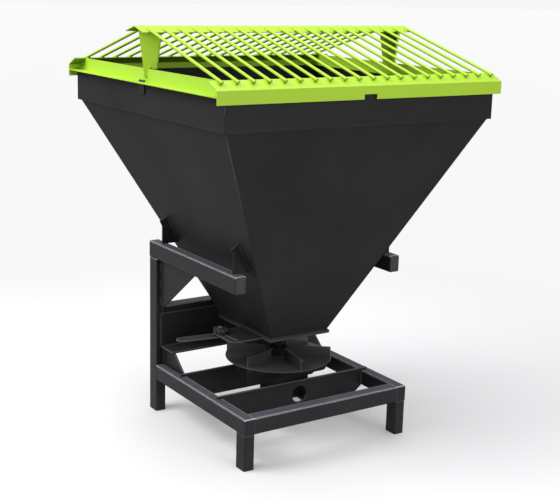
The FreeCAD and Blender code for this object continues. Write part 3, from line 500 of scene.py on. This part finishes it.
def gusset_welds():
    """Joints of the upper, lower and hopper gussets."""
    bm = bmesh.new()
    (_, upper_y, upper_low), (upper_x, _, upper_high) = corners("upper_gussets")
    (_, lower_y, _), (lower_x, _, lower_top) = corners("lower_gussets")
    arm_low, arm_top = ARM[0].z, ARM[1].z
    for x in (upper_x, upper_x - PLATE_THICKNESS):
        stitches(bm, (x, POST_FRONT, upper_low), (x, POST_FRONT, upper_high), LAP)
        stitches(bm, (x, upper_y + 20 * MM, arm_low), (x, POST_FRONT, arm_low), LAP)
    for x in (lower_x, lower_x - PLATE_THICKNESS):
        stitches(bm, (x, lower_y, RAIL_TOP), (x, POST_FRONT, RAIL_TOP), LAP)
        bead_z(bm, x, POST_FRONT, RAIL_TOP, lower_top, LAP)
        stitches(bm, (x, HITCH[0].y + EDGE, lower_top), (x, POST_FRONT - EDGE, lower_top), LAP)
    (_, rest_front, _), (_, rest_rear, tip) = corners("hopper_gussets")
    low, high = arm_top + 4 * MM, tip - 4 * MM
    rest_foot_x = TUBE_OUT - 17 * MM
    for y in (rest_front, rest_front + PLATE_THICKNESS, rest_rear - PLATE_THICKNESS, rest_rear):
        mirrored(bm, (TUBE_IN + 2 * EDGE, y, arm_top), (rest_foot_x, y, arm_top), FILLET)
        mirrored(bm, (wall_x(low), y, low), (wall_x(high), y, high), SEAM)
    tip_x = wall_x(tip) - 1 * MM
    for y in (rest_front, rest_rear - PLATE_THICKNESS):
        mirrored(bm, (tip_x, y, tip), (tip_x, y + PLATE_THICKNESS, tip), 2.4 * MM)
    finish_piece("gusset_welds", bm, "stand", "black_paint", smooth=True, finish="weld_paint")


def hitch_welds():
    """Joints of the hitch plate, cross tube, lugs, mast and braces."""
    bm = bmesh.new()
    cross_low, cross_top = CROSS[0].z, CROSS[1].z
    cross_front, cross_rear = CROSS[0].y, CROSS[1].y
    bead_z(bm, HITCH[1].x, POST_FRONT, HITCH[0].z, HITCH[1].z, FILLET)
    bead_z(bm, TUBE_IN, POST_FRONT, HITCH[0].z, cross_low, FILLET)
    end = TUBE_IN - 10 * MM
    for start, z in ((10 * MM, HITCH[1].z), (45 * MM, cross_low)):
        stitches(bm, (start, POST_FRONT, z), (end, POST_FRONT, z), FILLET, 40 * MM, 35 * MM)
    for z in (cross_low, cross_top):
        bead_y(bm, TUBE_IN, cross_front, cross_rear, z, LAP)
    bead_z(bm, TUBE_IN, cross_rear, cross_low, cross_top, LAP)
    lugs, mast, braces = corners("lower_link_lugs"), corners("top_link_mast"), corners("mast_braces")
    inner_ear = lugs[1].x - EAR_THICKNESS - EAR_GAP
    for x in (lugs[1].x, lugs[1].x - EAR_THICKNESS, inner_ear, inner_ear - EAR_THICKNESS):
        bead_z(bm, x, POST_FRONT, lugs[0].z, lugs[1].z, FILLET)
    for x in (mast[1].x, mast[1].x - EAR_THICKNESS):
        bead_z(bm, x, cross_rear, cross_low, cross_top, FILLET)
        bead_y(bm, x, cross_front, cross_rear, cross_low, FILLET)
        bead_z(bm, x, POST_FRONT, braces[0].z, cross_low, FILLET)
    finish_piece("hitch_welds", bm, "stand", "black_paint", smooth=True, finish="weld_paint")


def link_ear_collars():
    """A collar round each pin hole, on the ears' outer faces."""
    bm = bmesh.new()
    mounts = {mount["name"]: mount for mount in frame["record"]["mounts"]}
    clearance = 0.15
    outer_face = corners("lower_link_lugs")[1].x
    inner_face = outer_face - 2 * EAR_THICKNESS - EAR_GAP
    mast_face = corners("top_link_mast")[1].x
    for sign in (-1, 1):
        for name, face, outward, radius in (("lower_links", outer_face, 1, 20 * MM),
                                            ("lower_links", inner_face, -1, 20 * MM),
                                            ("top_link", mast_face, 1, 17 * MM)):
            _, y, z = mounts[name]["pos_m"]
            bore = (mounts[name]["dims"]["r_mm"] + clearance) * MM
            add_collar(bm, (sign * face, y, z), (sign * outward, 0, 0), radius, bore, 3.5 * MM)
    finish_piece("link_ear_collars", bm, "stand", "black_paint")


def arm_plugs():
    """Plastic plugs in the arms' open front ends."""
    bm = bmesh.new()
    half_x, half_z = (TUBE_OUT - TUBE_IN) / 2, (ARM[1].z - ARM[0].z) / 2
    cut = 4 * MM
    for sign in (-1, 1):
        middle = Vector((sign * (TUBE_IN + TUBE_OUT) / 2, ARM[0].y, (ARM[0].z + ARM[1].z) / 2))
        rings = []
        for inset, out in ((1.2, 0), (1.2, 1.6), (2.2, 2.4), (6, 3.0), (7, 1.6)):
            w, h = half_x - inset * MM, half_z - inset * MM
            outline = [(w, cut - h), (w, h - cut), (w - cut, h), (cut - w, h)]
            outline += [(-x, -z) for x, z in outline]
            rings.append([bm.verts.new(middle + Vector((x, -out * MM, z))) for x, z in outline])
        skin(bm, rings)
    finish_piece("arm_plugs", bm, "stand", "knob_plastic")


# ---- hopper -------------------------------------------------------------------------
def hopper_seams():
    """Folded corner edges, the outlet's weld, the rim's seams and the hooks' welds."""
    rim_low, rim_high = (corner.z for corner in corners("rim_left_right"))
    rim_x, rim_y = corners("rim_left_right")[1].x, corners("rim_front_rear")[1].y
    foot_ys = (FLANGE[0].y + OUTLET_LEDGE, FLANGE[1].y - OUTLET_LEDGE)
    top_y = corners("hopper_wall_front")[0].y
    top_ys = (top_y, -top_y)
    bm = bmesh.new()
    inset = 0.6 * MM
    for y0, y1, inward in zip(foot_ys, top_ys, (inset, -inset)):
        for sign in (-1, 1):
            add_cord(bm, (sign * (FOOT_X - inset), y0 + inward, WALL[0].z),
                     (sign * (WALL[1].x - inset), y1 + inward, WALL[1].z), 1.6 * MM)
    inset = 0.7 * MM
    for x in (inset - rim_x, rim_x - inset):
        for y in (inset - rim_y, rim_y - inset):
            add_cord(bm, (x, y, rim_low), (x, y, rim_high), 1.4 * MM)
    finish_piece("hopper_edges", bm, "stand", "hopper_paint", smooth=True)

    bm = bmesh.new()
    outlet_z = FLANGE[1].z
    for y in foot_ys:
        add_bead(bm, (-FOOT_X, y, outlet_z), (FOOT_X, y, outlet_z), FILLET)
    for x in (-FOOT_X, FOOT_X):
        add_bead(bm, (x, foot_ys[0], outlet_z), (x, foot_ys[1], outlet_z), FILLET)
    for y in top_ys:
        add_bead(bm, (-WALL[1].x, y, rim_low), (WALL[1].x, y, rim_low), 1.7 * MM)
    for x in (-WALL[1].x, WALL[1].x):
        add_bead(bm, (x, top_ys[0], rim_low), (x, top_ys[1], rim_low), 1.7 * MM)
    (_, hook_front, hook_low), (_, hook_rear, _) = corners("lid_hooks")
    clear = 2 * MM
    for y in (hook_front, hook_rear):
        mirrored(bm, (rim_x, y, hook_low + clear), (rim_x, y, rim_high - 3 * clear), SMALL)
    mirrored(bm, (rim_x, hook_front + clear, hook_low), (rim_x, hook_rear - clear, hook_low), SMALL)
    finish_piece("hopper_welds", bm, "stand", "hopper_paint", smooth=True)


# ---- drive --------------------------------------------------------------------------
def bridge_welds():
    """Joints of the motor bridge with its bars and the rear cross plate."""
    bm = bmesh.new()
    (_, bar_front, _), (bar_out, bar_rear, bar_top) = corners("bridge_bars")
    bar_in = bar_out - BRIDGE_BAR_WIDTH
    bead_x(bm, bar_in, bar_out, bar_front, bar_top, FILLET)
    bead_x(bm, bar_in, bar_out, bar_rear - BRIDGE_SHEET, bar_top, FILLET)
    rear_y, plate_top = corners("motor_bridge")[1].y, PLATES[1][1].z
    half, foot = BRIDGE_HALF_X, plate_top - BRIDGE_FOOT
    add_bead(bm, (-half, rear_y, plate_top), (half, rear_y, plate_top), FILLET)
    add_bead(bm, (-half, rear_y, foot), (half, rear_y, foot), SEAM)
    mirrored(bm, (half, rear_y, foot), (half, rear_y, plate_top), FILLET)
    finish_piece("bridge_welds", bm, "stand", "black_paint", smooth=True, finish="weld_paint")


def motor_fittings():
    """The motor's flange bolts and nuts, the screws of its end cap and its port plugs."""
    bridge_top = corners("motor_bridge")[1].z
    (_, _, cap), (flange_x, block_rear, _) = corners("motor")
    seat = bridge_top - BRIDGE_SHEET - MOTOR_FLANGE_THICKNESS
    up, down = (0, 0, 1), (0, 0, -1)
    bm = bmesh.new()
    bolt_inset = 9 * MM
    reach = flange_x - bolt_inset
    for sx in (-1, 1):
        for sy in (-1, 1):
            x, y = sx * reach, AXIS_Y + sy * reach
            add_round_head(bm, (x, y, bridge_top), up, 5.5 * MM)
            add_bolt(bm, (x, y, seat), down, 6.5 * MM)
            thread = [(3 * MM, 0), (3 * MM, 5 * MM), (2.4 * MM, 6 * MM)]
            add_lathe(bm, (x, y, seat - 4 * MM), down, thread)
    socket_head = [(4.5, 0), (4.5, 2.4), (4.0, 3), (2.2, 3), (2.2, 1)]
    screws, pitch_radius = 5, 22 * MM
    for k in range(screws):
        a = 2 * math.pi * (k + 0.5) / screws
        place = (pitch_radius * math.cos(a), AXIS_Y + pitch_radius * math.sin(a), cap)
        add_lathe(bm, place, down, [(r * MM, h * MM) for r, h in socket_head])
    finish_piece("motor_bolts", bm, "stand", "zinc")

    bm = bmesh.new()
    plug = [(10, 0), (10, 3), (9, 4), (7.5, 4), (7.5, 9), (6.5, 10)]
    port_z = (seat + cap + 10 * MM) / 2
    for x in (-12 * MM, 12 * MM):
        add_lathe(bm, (x, block_rear, port_z), (0, 1, 0), [(r * MM, h * MM) for r, h in plug])
    finish_piece("motor_port_plugs", bm, "stand", "knob_plastic")


def spoke(angle):
    """A level direction away from the shaft."""
    return Vector((math.cos(angle), math.sin(angle), 0))


def spinner_details():
    """The vanes' bolts and welds, the hub's weld and its set screws."""
    vane_spokes = [spoke(math.radians(VANE_FIRST_ANGLE + 360 / VANE_COUNT * k)) for k in range(VANE_COUNT)]
    disc_low, disc_top = DISC[0].z, DISC[1].z
    foot = 3 * MM
    bm = bmesh.new()
    for along in vane_spokes:
        side = Vector((-along.y, along.x, 0))
        for reach in (62 * MM, 182 * MM):
            place = along * reach + side * 6.3 * MM + Vector((0, AXIS_Y, disc_top + foot))
            add_round_head(bm, place, (0, 0, 1), 3.4 * MM)
            place.z = disc_low
            add_bolt(bm, place, (0, 0, -1), 6.5 * MM)
    finish_piece("vane_bolts", bm, "spinner", "black_paint", smooth=True, finish="disc_paint_lit")

    bm = bmesh.new()
    hub_radius = HUB[1].x
    centre = Vector((0, AXIS_Y, disc_top))
    steps = 24
    for k in range(steps):
        a, b = (2 * math.pi * (k + d) / steps for d in (0, 1))
        add_bead(bm, centre + spoke(a) * hub_radius, centre + spoke(b) * hub_radius, LAP)
    for along in vane_spokes:
        for reach in (75 * MM, 115 * MM, 155 * MM):
            add_bead(bm, centre + along * (reach - 9 * MM), centre + along * (reach + 9 * MM), SMALL)
    finish_piece("spinner_welds", bm, "spinner", "black_paint", smooth=True, finish="weld_paint")

    bm = bmesh.new()
    hub_middle = Vector((0, AXIS_Y, (HUB[0].z + HUB[1].z) / 2))
    for degrees in (20, 140, 285):
        along = spoke(math.radians(degrees))
        add_bolt(bm, hub_middle + along * (hub_radius - 0.4 * MM), along, 4.5 * MM)
    finish_piece("set_screws", bm, "spinner", "zinc")


def knob_details():
    """The star knob's domed top and the metal insert in it."""
    low, high = corners("star_knob")
    top = Vector(((low.x + high.x) / 2, (low.y + high.y) / 2, high.z))
    up = (0, 0, 1)
    bm = bmesh.new()
    dome = [(14, 0), (13, 1.2), (9, 2.4), (6.5, 2.6)]
    add_lathe(bm, top, up, [(r * MM, h * MM) for r, h in dome])
    finish_piece("knob_dome", bm, "shutter", "knob_plastic", smooth=True)

    bm = bmesh.new()
    insert = [(6, 0), (6, 1.4), (5.2, 2)]
    add_lathe(bm, top + Vector((0, 0, 2.4 * MM)), up, [(r * MM, h * MM) for r, h in insert], segments=6)
    finish_piece("knob_insert", bm, "shutter", "zinc")


# ---- grille -------------------------------------------------------------------------
def bar_centres(low_x, high_x, count):
    """Where the bars of a row stand across the machine."""
    pitch = (high_x - low_x - 2 * BAR_RADIUS) / (count - 1)
    return [low_x + BAR_RADIUS + k * pitch for k in range(count)]


def bar_welds(bm, node, count, sign):
    """Two beads at each end of every bar of a row; sign is 1 in front and -1 behind."""
    rail, ridge_top = corners("grille_rail_front"), corners("ridge_cap")[1].z
    flange_y, flange_z = rail[1].y, rail[1].z
    roof_slope = (ridge_top - flange_z) / -flange_y
    low, high = corners(node)
    foot_y = low.y if sign > 0 else -high.y
    head_y = high.y if sign > 0 else -low.y
    foot_end = foot_y + 9 * MM
    foot_z = flange_z - (flange_y - foot_end) * BAR_WELD_SLOPE
    for middle in bar_centres(low.x, high.x, count):
        for x in (middle - 3.6 * MM, middle + 3.6 * MM):
            add_bead(bm, (x, sign * (flange_y + 2 * MM), flange_z + 0.6 * MM),
                     (x, sign * foot_end, foot_z), 2.4 * MM)
            y0, y1 = head_y - 2 * MM, head_y - 22 * MM
            add_bead(bm, (x, sign * y0, ridge_top + y0 * roof_slope + 0.8 * MM),
                     (x, sign * y1, ridge_top + y1 * roof_slope + 0.8 * MM), 1.9 * MM)


def grille_welds():
    """Welds of the bars, and the seams of the end plates."""
    bm = bmesh.new()
    bar_welds(bm, "bars_front", BAR_COUNT, 1)
    bar_welds(bm, "bars_rear", BAR_COUNT - 1, -1)
    (inner_x, _, low), (outer_x, _, _) = corners("grille_end_right")
    end_y = corners("grille_rail_front")[0].y + GRILLE_SHEET
    face_x, lip_z = inner_x + GRILLE_SHEET, low + GRILLE_SHEET
    seam_top = low + 24 * MM
    for y in (end_y, -end_y):
        mirrored(bm, (inner_x, y, low + 1 * MM), (inner_x, y, seam_top), SMALL)
        mirrored(bm, (face_x, y, lip_z), (face_x, y, seam_top), SMALL)
        mirrored(bm, (inner_x + 5 * MM, y, lip_z), (outer_x, y, lip_z), 1.6 * MM)
    mirrored(bm, (face_x, end_y, lip_z), (face_x, -end_y, lip_z), BUTT)
    finish_piece("grille_welds", bm, "grille", "green_paint", smooth=True)


def post_bolts():
    """Two bolts low down on each leaf of the folded posts."""
    bm = bmesh.new()
    foot, head = corners("ridge_posts")
    tip_x = corners("grille_end_right")[0].x + 9 * MM
    lean = math.sqrt(0.5)
    for sign in (-1, 1):
        for y, height in ((-9, 9), (9, 9), (-16, 34), (16, 34)):
            rise = height * MM / (head.z - foot.z)
            fold_x = tip_x + rise * (head.x - tip_x)
            place = (sign * (fold_x - abs(y) * MM), y * MM, foot.z + height * MM)
            add_bolt(bm, place, (sign * lean, math.copysign(lean, y), 0.1), 4.6 * MM)
    finish_piece("post_bolts", bm, "grille", "green_paint")


# ---- camera, floor and light --------------------------------------------------------
def camera():
    """The photo's view."""
    data = bpy.data.cameras.new("camera")
    data.lens = 72.6
    eye = bpy.data.objects.new("camera", data)
    bpy.context.scene.collection.objects.link(eye)
    place = (-2.1987, -3.3280, 1.5967)
    yaw, pitch, roll = 0.5896, 0.2358, 0.0268
    eye.matrix_world = (Matrix.Translation(place) @ Matrix.Rotation(-yaw, 4, "Z")
                        @ Matrix.Rotation(math.pi / 2 - pitch, 4, "X") @ Matrix.Rotation(roll, 4, "Z"))
    bpy.context.scene.camera = eye


def floor():
    """A pale floor that keeps the shadow and fades into the backdrop."""
    bm = bmesh.new()
    bmesh.ops.create_grid(bm, x_segments=1, y_segments=1, size=60.0)
    mesh = bpy.data.meshes.new("floor")
    bm.to_mesh(mesh)
    bm.free()
    ground = bpy.data.objects.new("floor", mesh)
    ground.location.z = -0.0005
    bpy.context.scene.collection.objects.link(ground)
    g = Graph("studio_floor")
    g.shader.inputs["Roughness"].default_value = 0.7
    g.shader.inputs["Specular IOR Level"].default_value = 0.1
    reach = g.add("VectorMath", {"operation": "LENGTH"})
    g.feed(reach.inputs[0], g.add("NewGeometry").outputs["Position"])
    away = g.ramp(reach.outputs["Value"], *FLOOR_FADE)
    g.feed(g.shader.inputs["Base Color"], g.mix(away, (0.7, 0.7, 0.703, 1), (0, 0, 0, 1)))
    rays = g.add("LightPath")
    seen = g.math("MAXIMUM", rays.outputs["Is Camera Ray"], rays.outputs["Is Glossy Ray"])
    seen = g.math("MAXIMUM", seen, rays.outputs["Is Transmission Ray"])
    g.shader.inputs["Emission Color"].default_value = (1, 1, 1.004, 1)
    glow = g.math("ADD", FLOOR_GLOW, g.math("MULTIPLY", away, BACKDROP - FLOOR_GLOW))
    g.feed(g.shader.inputs["Emission Strength"], g.math("MULTIPLY", seen, glow))
    mesh.materials.append(g.material)


def world():
    """Even light all round, with a paler backdrop for camera and transmission rays."""
    made = bpy.data.worlds.new("studio")
    bpy.context.scene.world = made
    made.use_nodes = True
    tree = made.node_tree
    light = tree.nodes["Background"]
    light.inputs["Color"].default_value = (0.97, 0.98, 1.0, 1)
    light.inputs["Strength"].default_value = 0.66
    seen = tree.nodes.new("ShaderNodeBackground")
    seen.inputs["Color"].default_value = (0.925, 0.925, 0.93, 1)
    rays = tree.nodes.new("ShaderNodeLightPath")
    mix = tree.nodes.new("ShaderNodeMixShader")
    straight = tree.nodes.new("ShaderNodeMath")
    straight.operation = "MAXIMUM"
    tree.links.new(rays.outputs["Is Camera Ray"], straight.inputs[0])
    tree.links.new(rays.outputs["Is Transmission Ray"], straight.inputs[1])
    tree.links.new(straight.outputs[0], mix.inputs[0])
    tree.links.new(light.outputs[0], mix.inputs[1])
    tree.links.new(seen.outputs[0], mix.inputs[2])
    tree.links.new(mix.outputs[0], tree.nodes["World Output"].inputs[0])


def softbox(name, place, aim, size, power):
    """A rectangular lamp aimed at a point."""
    data = bpy.data.lights.new(name, "AREA")
    data.shape = "RECTANGLE"
    data.size, data.size_y = size
    data.energy = power
    lamp = bpy.data.objects.new(name, data)
    bpy.context.scene.collection.objects.link(lamp)
    lamp.location = place
    lamp.rotation_mode = "QUATERNION"
    lamp.rotation_quaternion = (Vector(aim) - Vector(place)).to_track_quat("-Z", "Y")


def studio():
    bpy.context.scene.view_settings.view_transform = "Standard"
    camera()
    floor()
    world()
    softbox("top_light", (0.3, 0.2, 4.0), (0, 0, 0.4), (3.2, 3.2), 70.0)
    softbox("key_light", (-3.0, 0.8, 3.4), (0, 0, 0.6), (2.4, 2.4), 140.0)
    softbox("fill_light", (0.4, -5.0, 2.0), (0, 0, 0.9), (3.0, 2.0), 98.0)


paint_frame()
rail_welds()
gusset_welds()
hitch_welds()
link_ear_collars()
hopper_seams()
bridge_welds()
motor_fittings()
spinner_details()
knob_details()
arm_plugs()
grille_welds()
post_bolts()
studio()
